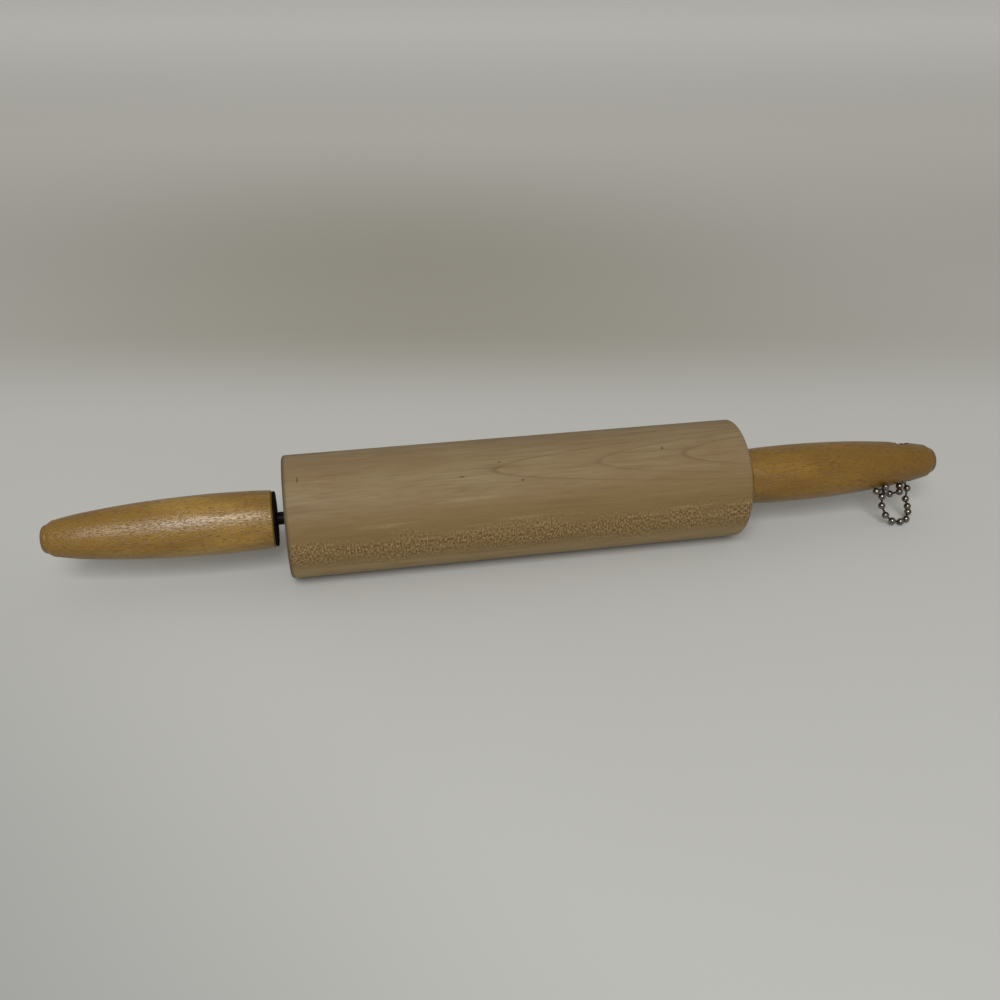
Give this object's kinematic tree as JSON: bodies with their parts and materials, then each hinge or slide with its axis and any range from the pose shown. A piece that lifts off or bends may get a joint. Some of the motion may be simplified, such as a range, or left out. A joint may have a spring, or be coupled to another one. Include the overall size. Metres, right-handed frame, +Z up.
{
  "type": "rolling pin",
  "caption": "Wooden rolling pin with a straight maple barrel that turns freely on a steel axle rod between fixed lacquered handles, and a bead chain through a handle's end to hang it by.",
  "frame": {"origin": "on the surface the barrel rests on, under the middle of the pin", "axes": "+X along the pin towards the handle with the chain, +Y away from the picture's viewer, +Z up"},
  "size_m": [0.5064, 0.067, 0.067],
  "materials": {
    "maple": "sanded, oiled",
    "lacquered_wood": "amber lacquer, glossy",
    "black_nylon": "satin black",
    "rod_steel": "black oxide",
    "insert_steel": "zinc plated",
    "bead_nickel": "nickel plated"
  },
  "bodies": {
    "axle": {"axle_rod": "rod_steel", "left_handle": "lacquered_wood", "right_handle": "lacquered_wood", "left_handle_collar": "black_nylon", "right_handle_collar": "black_nylon", "left_rod_insert": "insert_steel", "right_rod_insert": "insert_steel", "chain_bead_01": "bead_nickel", "chain_bead_02": "bead_nickel", "chain_bead_03": "bead_nickel", "chain_bead_04": "bead_nickel", "chain_bead_05": "bead_nickel", "chain_bead_06": "bead_nickel", "chain_bead_07": "bead_nickel", "chain_bead_08": "bead_nickel", "chain_bead_09": "bead_nickel", "chain_bead_10": "bead_nickel", "chain_bead_11": "bead_nickel", "chain_bead_12": "bead_nickel", "chain_bead_13": "bead_nickel", "chain_bead_14": "bead_nickel", "chain_bead_15": "bead_nickel", "chain_bead_16": "bead_nickel", "chain_bead_17": "bead_nickel", "chain_bead_18": "bead_nickel", "chain_bead_19": "bead_nickel", "chain_bead_20": "bead_nickel", "chain_bead_21": "bead_nickel", "chain_bead_22": "bead_nickel", "chain_bead_23": "bead_nickel", "chain_bead_24": "bead_nickel", "chain_connector": "bead_nickel"},
    "bushings": {"left_bushing": "black_nylon", "right_bushing": "black_nylon"},
    "barrel": {"barrel": "maple"}
  },
  "joints": [
    {"name": "barrel_end_play", "type": "slide", "parent": "axle", "child": "bushings", "axis": [1, 0, 0], "range_m": [-0.0049, 0.0049]},
    {"name": "barrel_spin", "type": "hinge", "parent": "bushings", "child": "barrel", "pos_m": [0, 0, 0.0335], "axis": [1, 0, 0], "continuous": true}
  ]
}
